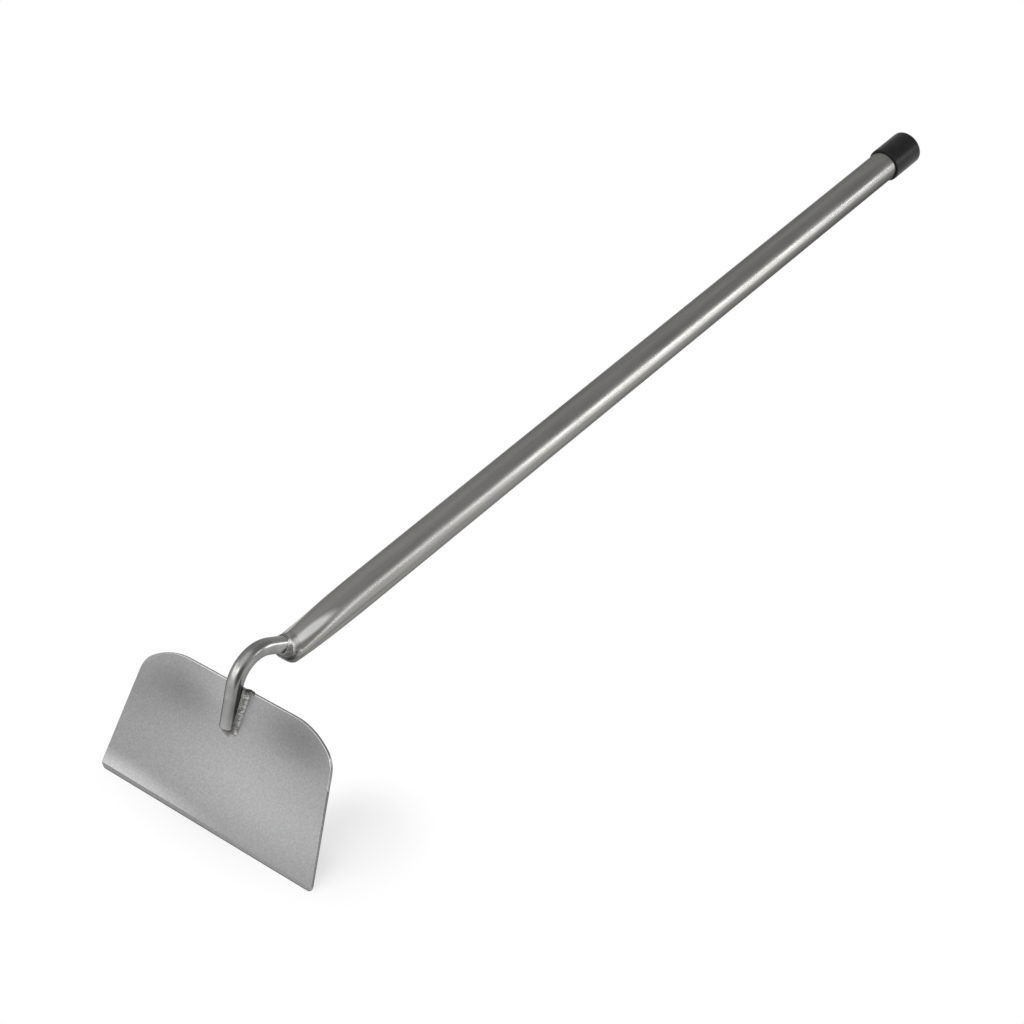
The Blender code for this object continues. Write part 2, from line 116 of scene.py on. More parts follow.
# %% [markdown]
# ## One way to finish a piece
#
# A finished mesh is moved to its place vertex by vertex, while its object stays at the origin. Patterns on
# Object coordinates then lie in the same place on the floor's grid for every piece. Curved faces are shaded
# smooth and large flat ones flat, because a smooth normal would bend the light across a plate.


# %% From a bmesh to a piece
CREASE = math.radians(40)  # an edge that turns more than this stays sharp


def finish_piece(name, bm, place, material, node, flat_over=1.0):
    """Moves the bmesh to its place and makes it a piece. Faces over flat_over square metres are flat."""
    bmesh.ops.transform(bm, matrix=place, verts=bm.verts)
    for face in bm.faces:
        face.smooth = face.calc_area() < flat_over
    mesh = bpy.data.meshes.new(name)
    bm.to_mesh(mesh)
    bm.free()
    mesh.set_sharp_from_angle(angle=CREASE)
    mesh.materials.append(material)
    piece = bpy.data.objects.new(name, mesh)
    bpy.context.scene.collection.objects.link(piece)
    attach(piece, "root")
    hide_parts(node)
    size = [round(1000 * side, 1) for side in piece.dimensions]
    print(name, "is", size, "mm with", len(mesh.polygons), "faces")


# %% [markdown]
# ## Skins from rings
#
# The tube's mouth and the welds change their section as they go along. For such a form one ring of edges is
# extruded again and again, and after each extrusion the new vertices are put where that station's section
# has them. The faces between two rings come from the extrusion itself, so they never twist.


# %% A ring that is extruded from station to station
MERGE_UNDER = 0.000002  # vertices that are nearer than this become one


def skin(stations, sides, place):
    """place(station, side) is where that vertex goes. The last ring may close on the first."""
    bm = bmesh.new()
    ring = bmesh.ops.create_circle(bm, segments=sides, radius=1.0)["verts"]
    for side, vert in enumerate(ring):
        vert.co = place(0, side)
    for station in range(1, stations):
        edges = [bm.edges.get(pair) for pair in zip(ring, ring[1:] + ring[:1])]
        made = bmesh.ops.extrude_edge_only(bm, edges=edges)["geom"]
        fresh = {item for item in made if isinstance(item, bmesh.types.BMVert)}
        ring = [next(e.other_vert(v) for e in v.link_edges if e.other_vert(v) in fresh) for v in ring]
        for side, vert in enumerate(ring):
            vert.co = place(station, side)
    return bm


def close(bm):
    """Merges rings that meet, fills open ends and turns the faces outwards."""
    bmesh.ops.remove_doubles(bm, verts=bm.verts, dist=MERGE_UNDER)
    bmesh.ops.holes_fill(bm, edges=[edge for edge in bm.edges if edge.is_boundary], sides=0)
    bmesh.ops.recalc_face_normals(bm, faces=bm.faces)
    return bm


# %% [markdown]
# ## Effects that several finishes share
#
# Steel shows three things close up: fine lines from the belt or the draw plate, a grain, and slow patches
# where it was handled or oiled. Each is a node group that puts out a value between 0 and 1, so that every
# finish can use it in its own strength.


# %% Node groups
def effect(name, inputs):
    """A node group from a Vector and some numbers to one Value."""
    group = bpy.data.node_groups.new(name, "ShaderNodeTree")
    group.interface.new_socket("Vector", in_out="INPUT", socket_type="NodeSocketVector")
    for label, value in inputs:
        number = group.interface.new_socket(label, in_out="INPUT", socket_type="NodeSocketFloat")
        number.default_value = value
    group.interface.new_socket("Value", in_out="OUTPUT", socket_type="NodeSocketFloat")
    return group, group.nodes.new("NodeGroupInput"), group.nodes.new("NodeGroupOutput")


def join(tree, *pairs):
    for source, target in pairs:
        tree.links.new(source, target)


streaks, given, result = effect("lengthwise_streaks", [("Across", 900.0), ("Along", 14.0)])
stretch = streaks.nodes.new("ShaderNodeCombineXYZ")
scaled = streaks.nodes.new("ShaderNodeVectorMath")
scaled.operation = "MULTIPLY"
fibres = streaks.nodes.new("ShaderNodeTexNoise")
fibres.inputs["Scale"].default_value = 1.0
fibres.inputs["Detail"].default_value = 3.0
join(streaks, (given.outputs["Along"], stretch.inputs["X"]), (given.outputs["Across"], stretch.inputs["Y"]),
     (given.outputs["Across"], stretch.inputs["Z"]), (given.outputs["Vector"], scaled.inputs[0]),
     (stretch.outputs[0], scaled.inputs[1]), (scaled.outputs[0], fibres.inputs["Vector"]),
     (fibres.outputs[0], result.inputs["Value"]))

grain, given, result = effect("metal_grain", [("Scale", 1400.0), ("Detail", 4.0)])
specks = grain.nodes.new("ShaderNodeTexNoise")
specks.inputs["Roughness"].default_value = 0.7
join(grain, (given.outputs["Vector"], specks.inputs["Vector"]),
     (given.outputs["Scale"], specks.inputs["Scale"]), (given.outputs["Detail"], specks.inputs["Detail"]),
     (specks.outputs[0], result.inputs["Value"]))

patches, given, result = effect("handled_patches", [("Scale", 22.0), ("Low", 0.40), ("High", 0.62)])
clouds = patches.nodes.new("ShaderNodeTexNoise")
clouds.inputs["Detail"].default_value = 2.0
spread = patches.nodes.new("ShaderNodeMapRange")
spread.interpolation_type = "SMOOTHSTEP"
join(patches, (given.outputs["Vector"], clouds.inputs["Vector"]),
     (given.outputs["Scale"], clouds.inputs["Scale"]), (clouds.outputs[0], spread.inputs["Value"]),
     (given.outputs["Low"], spread.inputs["From Min"]), (given.outputs["High"], spread.inputs["From Max"]),
     (spread.outputs[0], result.inputs["Value"]))
print("effects:", streaks.name, grain.name, patches.name)


# %% [markdown]
# The materials below are put together from small tools. Each adds one or two nodes and hands back the
# socket that brings its result, so a finish reads from top to bottom like a recipe.


# %% Tools for a material
def new_finish(name, metallic, edge_tint=1.0):
    """edge_tint below 1 keeps a metal dark where it is seen at a grazing angle."""
    material = bpy.data.materials.new(name)
    material.use_nodes = True
    shader = material.node_tree.nodes["Principled BSDF"]
    shader.inputs["Metallic"].default_value = metallic
    shader.inputs["Specular Tint"].default_value = (edge_tint, edge_tint, edge_tint, 1.0)
    return material, material.node_tree, shader


def object_place(tree, turn=0.0):
    """Object coordinates, turned back about Y so that a pattern runs with the piece."""
    coordinates = tree.nodes.new("ShaderNodeTexCoord")
    mapping = tree.nodes.new("ShaderNodeMapping")
    mapping.inputs["Rotation"].default_value = (0.0, -turn, 0.0)
    join(tree, (coordinates.outputs["Object"], mapping.inputs["Vector"]))
    return mapping.outputs["Vector"]


def add_effect(tree, group, vector, **values):
    node = tree.nodes.new("ShaderNodeGroup")
    node.node_tree = group
    join(tree, (vector, node.inputs["Vector"]))
    for label, value in values.items():
        node.inputs[label].default_value = value
    return node.outputs["Value"]


def between(tree, value, low, high, target):
    """Sends a 0 to 1 value to target as low to high."""
    node = tree.nodes.new("ShaderNodeMapRange")
    node.inputs["To Min"].default_value = low
    node.inputs["To Max"].default_value = high
    join(tree, (value, node.inputs["Value"]), (node.outputs[0], target))


def reckoned(tree, operation, first, second):
    """A sum, a product or a comparison of a socket and a socket or number, kept within 0 to 1."""
    node = tree.nodes.new("ShaderNodeMath")
    node.operation = operation
    node.use_clamp = True
    join(tree, (first, node.inputs[0]))
    if isinstance(second, float):
        node.inputs[1].default_value = second
    else:
        join(tree, (second, node.inputs[1]))
    return node.outputs[0]


def two_tones(tree, value, dark, light):
    """A colour between dark and light, which may be colours or sockets that bring them."""
    node = tree.nodes.new("ShaderNodeMix")
    node.data_type = "RGBA"
    for name, tone in (("A", dark), ("B", light)):
        if isinstance(tone, tuple):
            node.inputs[name].default_value = (*tone, 1.0)
        else:
            join(tree, (tone, node.inputs[name]))
    join(tree, (value, node.inputs["Factor"]))
    return node.outputs["Result"]


def raised(tree, height, depth, shader, strength):
    """Lets a value stand out of the surface by depth metres."""
    bump = tree.nodes.new("ShaderNodeBump")
    bump.inputs["Strength"].default_value = strength
    bump.inputs["Distance"].default_value = depth
    join(tree, (height, bump.inputs["Height"]), (bump.outputs[0], shader.inputs["Normal"]))


# %% [markdown]
# ## Masks with a place
#
# Painted light and shade are not noise: each patch has its place on the hoe. Such a mask is measured in the
# tube's or the plate's frame, so it stays where it is put when a piece is reshaped.


# %% Soft spots
def measured(tree, frame, middle=(0.0, 0.0, 0.0), reach=(1.0, 1.0, 1.0)):
    """Place in one of the two frames, from a middle and in units of reach along X, Y and Z."""
    coordinates = tree.nodes.new("ShaderNodeTexCoord")
    mapping = tree.nodes.new("ShaderNodeMapping")
    mapping.vector_type = "TEXTURE"
    turned = frame @ Matrix.Translation(middle)
    mapping.inputs["Location"].default_value = turned.translation
    mapping.inputs["Rotation"].default_value = turned.to_euler()
    mapping.inputs["Scale"].default_value = reach
    join(tree, (coordinates.outputs["Object"], mapping.inputs["Vector"]))
    return mapping.outputs["Vector"]


def soft_spot(tree, frame, middle, reach):
    """1 at the middle, falling softly to 0 at reach."""
    length = tree.nodes.new("ShaderNodeVectorMath")
    length.operation = "LENGTH"
    fall = tree.nodes.new("ShaderNodeMapRange")
    fall.interpolation_type = "SMOOTHSTEP"
    fall.inputs["To Min"].default_value = 1.0
    fall.inputs["To Max"].default_value = 0.0
    join(tree, (measured(tree, frame, middle, reach), length.inputs[0]),
         (length.outputs["Value"], fall.inputs["Value"]))
    return fall.outputs[0]


def shaded(tree, colour, mask, gain):
    """The colour, times 1 + gain where the mask is 1."""
    node = tree.nodes.new("ShaderNodeVectorMath")
    node.operation = "SCALE"
    join(tree, (colour, node.inputs[0]))
    between(tree, mask, 1.0, 1.0 + gain, node.inputs["Scale"])
    return node.outputs[0]


def spotted(tree, colour, frame, spots):
    """The colour under soft spots, each of them given as its middle, its reach and its gain."""
    for middle, reach, gain in spots:
        colour = shaded(tree, colour, soft_spot(tree, frame, middle, reach), gain)
    return colour


# %% [markdown]
# ## The tube's steel
#
# The tube has a satin surface: very fine lines along it, almost too fine to see one by one, and wider,
# fainter bands. They could be a texture of thin dark lines, but real ones mostly change how the light
# spreads. So the lines make a shallow relief as well as a small change of colour, and the bands only change
# the colour.
#
# The rest is soft spots in the handle's frame, and all of them are painted light and shade. The tube is
# painted a little brighter towards the neck and darker under its far half. A painted highlight runs along its
# right side with a painted dark band below it near the neck. At the drawn-down end each flank gets a bright
# painted highlight, and the nose in front of it gets painted shade.

# %% Satin tube
satin_tube, tree, shader = new_finish("satin_tube", 1.0, 0.4)
along_tube = object_place(tree, SLOPE)
lines = add_effect(tree, streaks, along_tube, Across=1100.0, Along=9.0)
bands = add_effect(tree, streaks, along_tube, Across=240.0, Along=16.0)
cloud = add_effect(tree, patches, along_tube, Scale=16.0)
colour = two_tones(tree, lines, (0.202, 0.200, 0.192), (0.243, 0.240, 0.230))
colour = shaded(tree, colour, bands, 0.5)
# Painted shade under the far half, painted light towards the neck, a painted highlight line and a painted
# dark band.
under_far_half = ((0.80, -0.012, -0.006), (0.62, 0.014, 0.012), -0.6)
towards_neck = ((0.0, 0.0, 0.0), (0.32, 0.10, 0.10), 0.15)
painted_highlight_line = ((0.50, -0.0120, 0.0032), (0.48, 0.0060, 0.0024), 0.8)
painted_dark_band = ((0.06, -0.0125, -0.0003), (0.16, 0.0060, 0.0022), -0.3)
colour = spotted(tree, colour, lay, (under_far_half, towards_neck, painted_highlight_line, painted_dark_band))
for side in (-1, 1):
    # A painted highlight on each flank and painted shade on the nose.
    painted_flank_highlight = ((0.0190, 0.0073 * side, 0.0084), (0.031, 0.0046, 0.0039), 4.0)
    painted_shade_nose = ((-0.0005, 0.0072 * side, -0.0005), (0.012, 0.009, 0.011), -0.70)
    colour = spotted(tree, colour, lay, (painted_flank_highlight, painted_shade_nose))
join(tree, (colour, shader.inputs["Base Color"]))
between(tree, cloud, 0.30, 0.36, shader.inputs["Roughness"])
raised(tree, lines, 0.00002, shader, 0.22)
print("the tube's lines follow its slope of", round(math.degrees(SLOPE), 2), "degrees")

# %% [markdown]
# ## The bar's steel
#
# Drawn bar is smoother and brighter than the tube, with a fine grain, and the heat of welding has left it a
# little warmer in colour. Where it lies on the plate its right side is painted darker, a painted shade, and
# its front is painted lighter, a painted light.

# %% Drawn bar
BAR_GRAIN = 900.0  # specks per metre
drawn_bar, tree, shader = new_finish("drawn_bar", 1.0, 0.5)
place = object_place(tree)
cloud = add_effect(tree, patches, place, Scale=60.0)
speck = add_effect(tree, grain, place, Scale=BAR_GRAIN)
colour = two_tones(tree, cloud, (0.25, 0.25, 0.242), (0.33, 0.33, 0.322))
# Painted shade on the bar's right side and painted light on its front.
painted_shade_side = ((-0.0070, 0.013, 0.006), (0.0045, 0.022, 0.009), -0.55)
painted_light_front = ((0.0030, 0.022, 0.010), (0.0070, 0.026, 0.010), 0.30)
colour = spotted(tree, colour, stand, (painted_shade_side, painted_light_front))
join(tree, (colour, shader.inputs["Base Color"]))
between(tree, speck, 0.18, 0.26, shader.inputs["Roughness"])
raised(tree, speck, 0.00002, shader, 0.2)
print("the bar's grain is about", round(1000 / BAR_GRAIN, 1), "mm across")

# %% [markdown]
# ## The plate's steel
#
# The blade is rolled sheet with a coarse, even grain and no direction. On top of that it is painted darker
# along its upper half, most of all to the right of the neck, and lighter in the lower right and in the left
# corners: painted shade and painted light. These are soft spots again, this time in the plate's frame.

# %% The plate's grain and painted shading
grained_plate, tree, shader = new_finish("grained_plate", 1.0, 0.5)
speck = add_effect(tree, grain, object_place(tree), Scale=650.0, Detail=4.0)
colour = two_tones(tree, speck, (0.198, 0.198, 0.200), (0.444, 0.444, 0.448))
# Each of these spots is painted shade (a negative gain) or painted light (a positive gain).
left_of_neck = ((0.050, 0.020, 0.0), (0.045, 0.025, 0.02), -0.25)
along_top_left = ((0.065, -0.015, 0.0), (0.085, 0.035, 0.02), -0.20)
upper_left_corner = ((0.110, 0.005, 0.0), (0.040, 0.065, 0.02), 0.20)
right_half = ((-0.080, 0.030, 0.0), (0.090, 0.060, 0.02), -0.12)
lower_left_corner = ((0.140, 0.105, 0.0), (0.045, 0.015, 0.02), 0.50)
right_of_neck = ((-0.060, 0.010, 0.0), (0.065, 0.030, 0.02), -0.40)
in_from_left_side = ((0.140, 0.030, 0.0), (0.175, 0.035, 0.02), -0.23)
lower_right = ((-0.065, 0.065, 0.0), (0.145, 0.045, 0.02), 0.26)
plate_painted_shading = (left_of_neck, along_top_left, upper_left_corner, right_half, lower_left_corner,
                right_of_neck, in_from_left_side, lower_right)
colour = spotted(tree, colour, stand, plate_painted_shading)
print("the plate has", len(plate_painted_shading), "soft clouds")

# %% [markdown]
# A curved band in the left half of the cutting edge is a painted highlight. The broken rim is smoother, with
# a painted highlight along the top, and the cut side under it gets painted shade. The rim has no pattern of
# its own: it is found by how far a point lies behind the front face. The ground strip keeps the plain colour.

# %% The plate's worked edges
BLADE_HEIGHT, BLADE_THICKNESS = 0.1032, 0.0025
GRIND_WIDTH, GRIND_DEPTH = 0.0039, 0.0017  # of the strip along the cutting edge
RIM = 0.0008  # taken off the sharp edges all round
RIM_START, SIDE_START = -0.00002, -(RIM - 0.0001)  # heights over the front face
# Down to TOP_PART the rim gets its painted highlight.
TOP_PART = 0.035  # down to here the rim is brightest
# A painted highlight band along the left half of the cutting edge.
painted_highlight_band = ((0.103, 0.102, 0.0), (0.140, 0.019, 0.02), 0.90)
where = tree.nodes.new("ShaderNodeSeparateXYZ")
join(tree, (measured(tree, stand), where.inputs[0]))
down, over = where.outputs["Y"], where.outputs["Z"]
painted_edge_colour = spotted(tree, colour, stand, (painted_highlight_band,))
rim = reckoned(tree, "LESS_THAN", over, RIM_START)
# The painted highlight on the rim's top part.
top_rim_highlight = shaded(tree, painted_edge_colour, rim, 0.8)
painted_edge_colour = two_tones(tree, reckoned(tree, "GREATER_THAN", down, TOP_PART), top_rim_highlight, painted_edge_colour)
# Painted shade on the cut side under the rim.
painted_edge_colour = shaded(tree, painted_edge_colour, reckoned(tree, "LESS_THAN", over, SIDE_START), -0.45)
strip = reckoned(tree, "GREATER_THAN", down, BLADE_HEIGHT - GRIND_WIDTH - 0.0001)
join(tree, (two_tones(tree, strip, painted_edge_colour, colour), shader.inputs["Base Color"]))
between(tree, rim, 0.45, 0.25, shader.inputs["Roughness"])
raised(tree, speck, 0.00006, shader, 0.3)

# %% [markdown]
# ## Weld metal and plastic
#
# A weld is blotched by slag and heat, yet its ripples glint: the blotches change the colour and the
# roughness together. The lump on the plate's edge is painted nearly black, a painted shade, and the bead at
# the tube's mouth gets a painted glint at its upper right. The cap is moulded plastic: nearly black, with a
# soft broad sheen.

# %% Weld metal
weld_metal, tree, shader = new_finish("weld_metal", 1.0, 0.5)
place = object_place(tree)
cloud = add_effect(tree, patches, place, Scale=420.0, Low=0.42, High=0.60)
speck = add_effect(tree, grain, place, Scale=1800.0)
colour = two_tones(tree, cloud, (0.26, 0.256, 0.25), (0.41, 0.405, 0.395))
# Painted shade on the lump on the plate's edge, and a painted glint on the bead at the tube's mouth.
painted_shade_lump = ((-0.0095, 0.0000, 0.0002), (0.0078, 0.0026, 0.0035), -0.85)
painted_glint_bead = ((0.0010, -0.0052, 0.0106), (0.0065, 0.0034, 0.0032), 1.8)
colour = spotted(tree, colour, stand, (painted_shade_lump,))
colour = spotted(tree, colour, lay, (painted_glint_bead,))
join(tree, (colour, shader.inputs["Base Color"]))
between(tree, cloud, 0.48, 0.30, shader.inputs["Roughness"])
raised(tree, speck, 0.00008, shader, 0.4)

# %% Black cap
black_cap, tree, shader = new_finish("black_cap", 0.0)
place = object_place(tree, SLOPE)
speck = add_effect(tree, grain, place, Scale=2200.0)
cloud = add_effect(tree, patches, place, Scale=45.0)
colour = two_tones(tree, cloud, (0.006, 0.006, 0.006), (0.010, 0.010, 0.010))
join(tree, (colour, shader.inputs["Base Color"]))
shader.inputs["Specular IOR Level"].default_value = 0.20
between(tree, speck, 0.32, 0.42, shader.inputs["Roughness"])
raised(tree, speck, 0.00004, shader, 0.3)
print("finishes:", satin_tube.name, drawn_bar.name, grained_plate.name, weld_metal.name, black_cap.name)

# %% [markdown]
# ## The handle's tube
#
# The maker presses the tube's hot end down over the bar. Its top then hugs the bar, flat flanks slope down
# to a lower part that keeps the tube's width, and the front closes in a blunt nose. It could be a straight
# tube cut by another shape, but the real skin flows, so it is one skin of rings. They run down the outside,
# turn in round the bar and go back inside as the bore.
#
# The nose's section is drawn by three arcs: one round the bar, and two below it, side by side. Each point
# of a ring belongs to a direction, and its place is an arc's centre plus that arc's radius in that
# direction. Mixing centres and radii with those of the round tube keeps every direction, so the flanks
# stay flat and only grow longer towards the nose.

# %% Sections of the drawn-down end
SEAT = 0.0001  # between pieces that touch
TUBE_RADIUS, TUBE_WALL, TUBE_LENGTH = 0.0125, 0.0015, 0.7451
PINCH = 0.0842  # over which the round tube is drawn down
COLLAR = BAR_RADIUS + 3 * SEAT + TUBE_WALL  # the upper arc's radius
NOSE_DROP, NOSE_LENGTH = 0.01225, 0.0055  # down from the bar's axis, and from its first ring to its front
LOW_RADIUS, LOW_SPREAD = 0.0094, 0.00326  # of the two lower arcs, and half the distance between them
SIDES_IN, TOP_IN, BELOW_IN = 0.0046, 0.0014, 0.0042  # how far the nose's rim turns in before the front
SOFT = math.radians(16)  # over which one arc passes into the next
low_centre = NOSE_DROP - LOW_RADIUS  # under the bar's axis
flank = math.hypot(LOW_SPREAD, low_centre)  # from an upper centre to a lower one
FLANK_TURN = math.atan2(LOW_SPREAD, low_centre) + math.asin((COLLAR - LOW_RADIUS) / flank)
nose_start = mouth - out * NOSE_LENGTH
print("the flanks face", round(math.degrees(FLANK_TURN)), "degrees up,", round(flank * 1000, 1), "mm wide")


def ease(value, middle):
    """Rises from 0 to 1 within SOFT of the middle."""
    share = min(max((value - middle + SOFT) / (2 * SOFT), 0.0), 1.0)
    return share * share * (3 - 2 * share)


def nose_arc(angle):
    """Centre across and up from the bar's axis, and radius, of the arc that faces an angle."""
    high = ease(angle, FLANK_TURN) * (1 - ease(angle, math.pi - FLANK_TURN))
    beside = 2 * ease(angle, 1.5 * math.pi) - 1 if angle > math.pi else math.copysign(1.0, math.cos(angle))
    return (1 - high) * beside * LOW_SPREAD, (high - 1) * low_centre, high * COLLAR + (1 - high) * LOW_RADIUS


def ring_point(centre, up, pinched, grow, inset, angle):
    """A point of the ring round centre, from a round section (pinched 0) to the nose's (pinched 1)."""
    across, over, radius = nose_arc(angle)
    cosine, sine = math.cos(angle), math.sin(angle)
    drawn_in = inset * (SIDES_IN * cosine**2 + (TOP_IN if sine > 0 else BELOW_IN) * sine**2)
    radius = TUBE_RADIUS + (radius - TUBE_RADIUS) * pinched + grow - drawn_in
    y = across * pinched + radius * cosine
    return centre + Vector((0.0, y, 0.0)) + up * (over * pinched + radius * sine)


# %% Where the rings stand
CLIMB_POWER, FORM_POWER = 2.08, 2.17  # how late the tube's axis climbs, and how late its section changes


def pinch_station(t, grow):
    """From t = 0, where the tube is round, to t = 1, where the nose starts."""
    run, climb = PINCH - nose_start.x, nose_start.z
    slope = math.atan2(climb * CLIMB_POWER * t ** (CLIMB_POWER - 1), run)
    turn = slope + (ROOT_ANGLE - math.atan2(climb * CLIMB_POWER, run)) * t**3
    centre = Vector((PINCH - run * t, 0.0, climb * t**CLIMB_POWER))
    return centre, heading(math.pi / 2 - turn), t**FORM_POWER, grow, 0.0


def nose_station(angle, grow):
    """On the nose's rounded rim, from angle 0 to the flat front at a quarter turn."""
    centre = nose_start + out * ((NOSE_LENGTH + grow) * math.sin(angle))
    return centre, above, 1.0, grow, 1 - math.cos(angle)


# %% The skin and the bore
TUBE_SIDES, PINCH_STEPS, NOSE_STEPS = 128, 60, 12
stations = []
for grow in (0.0, -TUBE_WALL):
    way = [(Vector((TUBE_LENGTH, 0, 0)), Vector((0, 0, 1)), 0.0, grow, 0.0)]
    way += [pinch_station(step / PINCH_STEPS, grow) for step in range(PINCH_STEPS + 1)]
    way += [nose_station(math.pi / 2 * step / NOSE_STEPS, grow) for step in range(1, NOSE_STEPS + 1)]
    way.append((mouth + out * grow, above, 0.0, BAR_RADIUS + 2 * SEAT - TUBE_RADIUS, 0.0))
    stations += way if grow == 0.0 else way[::-1]
stations.append(stations[0])
bm = skin(len(stations), TUBE_SIDES,
          lambda station, side: ring_point(*stations[station], 2 * math.pi * side / TUBE_SIDES))
finish_piece("satin_handle_tube", close(bm), lay, satin_tube, "handle_tube")

# %% [markdown]
# ## The gooseneck bar
#
# A round bar bent twice is what the spin operator makes best: one ring of edges, run straight, spun about
# the first bend's centre, run straight again and spun about the second. The end on the plate is blunt: it
# is rounded over a few millimetres, less than its radius. The back is ground flat where the bar would cut
# into the plate.


# %% Bending the bar
def run_straight(bm, edges, vector):
    made = bmesh.ops.extrude_edge_only(bm, edges=edges)["geom"]
    verts = [item for item in made if isinstance(item, bmesh.types.BMVert)]
    bmesh.ops.translate(bm, vec=vector, verts=verts)
    made_edges = [item for item in made if isinstance(item, bmesh.types.BMEdge)]
    return [edge for edge in made_edges if all(vert in verts for vert in edge.verts)]


def bend(bm, edges, centre, turn, steps):
    last = bmesh.ops.spin(bm, geom=edges, cent=centre, axis=(0, 1, 0), angle=turn, steps=steps,
                          use_merge=False, use_duplicate=False)["geom_last"]
    return [item for item in last if isinstance(item, bmesh.types.BMEdge)]


BAR_SIDES, ROOT_STEPS, ARCH_STEPS = 72, 16, 48
TANG_LENGTH = 0.060
BAR_ON_PLATE = 0.0285  # from the top edge to where the rounding of the end starts
bm = bmesh.new()
tang_end = Vector((ROOT_RADIUS * math.sin(ROOT_ANGLE) + TANG_LENGTH, 0.0, TANG_HEIGHT))
bmesh.ops.create_circle(bm, segments=BAR_SIDES, radius=BAR_RADIUS, cap_ends=False,
                        matrix=Matrix.Translation(tang_end) @ Matrix.Rotation(math.pi / 2, 4, "Y"))
ring = run_straight(bm, bm.edges[:], (-TANG_LENGTH, 0, 0))
ring = bend(bm, ring, mouth + above * ROOT_RADIUS, ROOT_ANGLE, ROOT_STEPS)
ring = run_straight(bm, ring, out * RISE)
ring = bend(bm, ring, arch_centre, -ARCH_TURN, ARCH_STEPS)
last_run = heading(math.pi + PLATE_ANGLE + LEAN)
ring = run_straight(bm, ring, last_run * (BAR_ON_PLATE / math.cos(LEAN)))
print("the bar's end is at", [round(1000 * n, 1) for n in arch_end], "mm in the handle's frame")

# %% Rounding its end
END_STEPS, END_DEPTH = 10, 0.0027
end_middle = arch_end + last_run * (BAR_ON_PLATE / math.cos(LEAN))
reached, thickness = 0.0, 1.0
for step in range(1, END_STEPS + 1):
    angle = math.pi / 2 * step / (END_STEPS + 0.4)  # stops short of a point, so a small disc is left
    ring = run_straight(bm, ring, last_run * (END_DEPTH * math.sin(angle) - reached))
    reached = END_DEPTH * math.sin(angle)
    ends = list({vert for edge in ring for vert in edge.verts})
    here = Matrix.Translation(end_middle + last_run * reached)
    bmesh.ops.scale(bm, vec=[math.cos(angle) / thickness] * 3, space=here.inverted(), verts=ends)
    thickness = math.cos(angle)

# %% Grinding its back flat against the plate
ON_PLANE = 0.0000001  # a vertex nearer to a cutting plane than this lies on it
GROUND_FROM = -0.001  # down the plate from its top edge, so a little above it
down_plate = plate.to_3x3() @ Vector((0, 1, 0))
near = [face for face in bm.faces if (face.calc_center_median() - arch_end).dot(down_plate) > GROUND_FROM]
parts = set(near) | {e for f in near for e in f.edges} | {v for f in near for v in f.verts}
bmesh.ops.bisect_plane(bm, geom=list(parts), dist=ON_PLANE, clear_inner=True,
                       plane_co=plate @ Vector((0, 0, SEAT)), plane_no=front)
finish_piece("drawn_gooseneck", close(bm), lay, drawn_bar, "neck_rod")

# %% [markdown]
# ## The blade
#
# The plate's upper corners are not quarter circles: a wide bend runs down from the top edge and a tight one
# turns it into the side. So half of the outline is drawn by spinning its end point about two centres, and
# mirrored. Then it is filled and extruded by its thickness, a plane grinds the cutting edge, and an edge
# bevel breaks the sharp rim, which is what catches the light along a real plate's edge.

# %% The plate's two bends
TOP_WIDTH, EDGE_WIDTH = 0.1807, 0.2120
FLAT_HALF, WIDE_BEND, TIGHT_BEND = 0.0515, 0.0595, 0.020  # half of the straight top, and the bends' radii
side_angle = math.atan2((EDGE_WIDTH - TOP_WIDTH) / 2, BLADE_HEIGHT)
bend_room = (TOP_WIDTH / 2 - FLAT_HALF) * math.cos(side_angle) + WIDE_BEND * math.sin(side_angle) - TIGHT_BEND
wide_turn = math.asin(bend_room / (WIDE_BEND - TIGHT_BEND)) - side_angle
print("the wide bend turns", round(math.degrees(wide_turn)), "degrees, the tight one the rest")

# %% The plate's outline
bm = bmesh.new()
tip = bm.verts.new((FLAT_HALF, 0.0, 0.0))
bm.edges.new((bm.verts.new((0.0, 0.0, 0.0)), tip))
wide_centre = Vector((FLAT_HALF, WIDE_BEND, 0.0))
bend_end = Vector((math.sin(wide_turn), -math.cos(wide_turn), 0.0))
tight_centre = wide_centre + bend_end * (WIDE_BEND - TIGHT_BEND)
for centre, turn, steps in ((wide_centre, wide_turn, 30),
                            (tight_centre, math.pi / 2 - side_angle - wide_turn, 10)):
    made = bmesh.ops.spin(bm, geom=[tip], cent=centre, axis=(0, 0, 1), angle=turn, steps=steps,
                          use_merge=False, use_duplicate=False)["geom_last"]
    tip = next(item for item in made if isinstance(item, bmesh.types.BMVert))
for place in ((EDGE_WIDTH / 2, BLADE_HEIGHT, 0.0), (0.0, BLADE_HEIGHT, 0.0)):
    following = bm.verts.new(place)
    bm.edges.new((tip, following))
    tip = following
bmesh.ops.mirror(bm, geom=bm.verts[:] + bm.edges[:], axis="X", merge_dist=0.000001)
bmesh.ops.contextual_create(bm, geom=bm.edges[:])
EDGE_CORNER = 0.004  # the radius where the sides meet the cutting edge
corners = [vert for vert in bm.verts if vert.co.y > BLADE_HEIGHT - 0.001 and abs(vert.co.x) > 0.01]
bmesh.ops.bevel(bm, geom=corners, offset=EDGE_CORNER / math.tan(math.pi / 4 - side_angle / 2), segments=10,
                offset_type="OFFSET", profile=0.5, affect="VERTICES", material=-1)
print("the outline has", len(bm.verts), "vertices")

